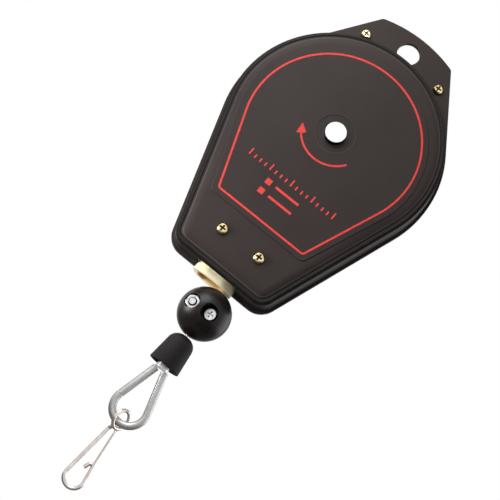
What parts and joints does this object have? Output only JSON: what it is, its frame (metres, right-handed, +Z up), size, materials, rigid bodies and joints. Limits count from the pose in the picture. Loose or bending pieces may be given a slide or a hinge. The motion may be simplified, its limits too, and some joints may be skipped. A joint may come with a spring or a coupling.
{
  "type": "tool balancer",
  "caption": "Spring tool balancer: flat pressed-steel case with a hang plate, a sprung cable drum, a stop ball and a wire snap hook that carries a tool.",
  "frame": {"origin": "centre of the hang hole, in the plane where the two case shells meet", "axes": "+Z up as it hangs, front face towards -Y, +X to the right seen from the front"},
  "size_m": [0.12, 0.036, 0.2963],
  "materials": {
    "case_paint": "satin",
    "yellow_zinc": "satin",
    "bright_steel": "satin",
    "spring_steel": "satin",
    "beige_nylon": "satin",
    "black_nylon": "matt",
    "drum_plastic": "matt",
    "ball_plastic": "satin",
    "cone_rubber": "matt",
    "cable_steel": "satin",
    "sheath_grey": "satin",
    "nickel": "bright"
  },
  "bodies": {
    "case": {"front_shell": "case_paint", "rear_shell": "case_paint", "hang_plate_screws": "yellow_zinc", "hang_plate_nuts": "yellow_zinc", "case_screws": "yellow_zinc", "case_nuts": "yellow_zinc", "case_spacers": "bright_steel", "cable_guide": "beige_nylon", "cable_lead": "cable_steel", "front_bush": "black_nylon", "rear_bush": "black_nylon", "pawl_pin": "bright_steel", "pawl_spring": "spring_steel"},
    "shaft": {"spring_shaft": "bright_steel", "thrust_washer": "bright_steel", "shaft_retaining_ring": "spring_steel", "ratchet_wheel": "bright_steel"},
    "pawl": {"pawl": "bright_steel"},
    "drum": {"cable_drum": "drum_plastic", "drum_cover": "drum_plastic", "drum_cover_screws": "yellow_zinc", "drum_bushes": "black_nylon", "mainspring": "spring_steel", "wound_cable": "cable_steel"},
    "cable_end": {"free_cable": "cable_steel", "hanging_cable": "cable_steel", "stop_ball_front": "ball_plastic", "stop_ball_rear": "ball_plastic", "ball_screws": "bright_steel", "ball_nuts": "bright_steel", "rubber_cone": "cone_rubber", "cable_ferrule": "cable_steel", "cable_loop": "cable_steel", "loop_sheath": "sheath_grey", "loop_sleeve": "sheath_grey"},
    "hook": {"snap_hook": "nickel"},
    "gate": {"snap_gate": "nickel"}
  },
  "joints": [
    {"name": "cable_pull", "type": "slide", "parent": "case", "child": "cable_end", "axis": [0.0419, 0, -0.9991], "range_m": [0, 1.3], "stiffness_N_per_m": 3.1, "springref_m": -2.6, "deforming": ["free_cable"]},
    {"name": "drum_spin", "type": "hinge", "parent": "case", "child": "drum", "pos_m": [0, 0, -0.0665], "axis": [0, -1, 0], "range_deg": [0, 1780], "deforming": ["mainspring"]},
    {"name": "tension_adjust", "type": "hinge", "parent": "case", "child": "shaft", "pos_m": [0, 0, -0.0665], "axis": [0, 1, 0], "continuous": true},
    {"name": "pawl_release", "type": "hinge", "parent": "case", "child": "pawl", "pos_m": [-0.0155, 0.013, -0.052], "axis": [0, -1, 0], "range_deg": [0, 18], "stiffness_Nm_per_rad": 0.02, "springref_deg": -17.19, "deforming": ["pawl_spring"]},
    {"name": "hook_tilt", "type": "hinge", "parent": "cable_end", "child": "hook", "pos_m": [0.0103, 0, -0.24574], "axis": [0.9991, 0, 0.0419], "range_deg": [-60, 60]},
    {"name": "gate_flex", "type": "hinge", "parent": "hook", "child": "gate", "pos_m": [0.01203, 0, -0.25127], "axis": [0, 1, 0], "range_deg": [0, 12], "stiffness_Nm_per_rad": 0.05, "springref_deg": -11.46}
  ],
  "couplings": [
    {"joint": "drum_spin", "follows": "cable_pull", "rad_per_m": 23.81}
  ]
}
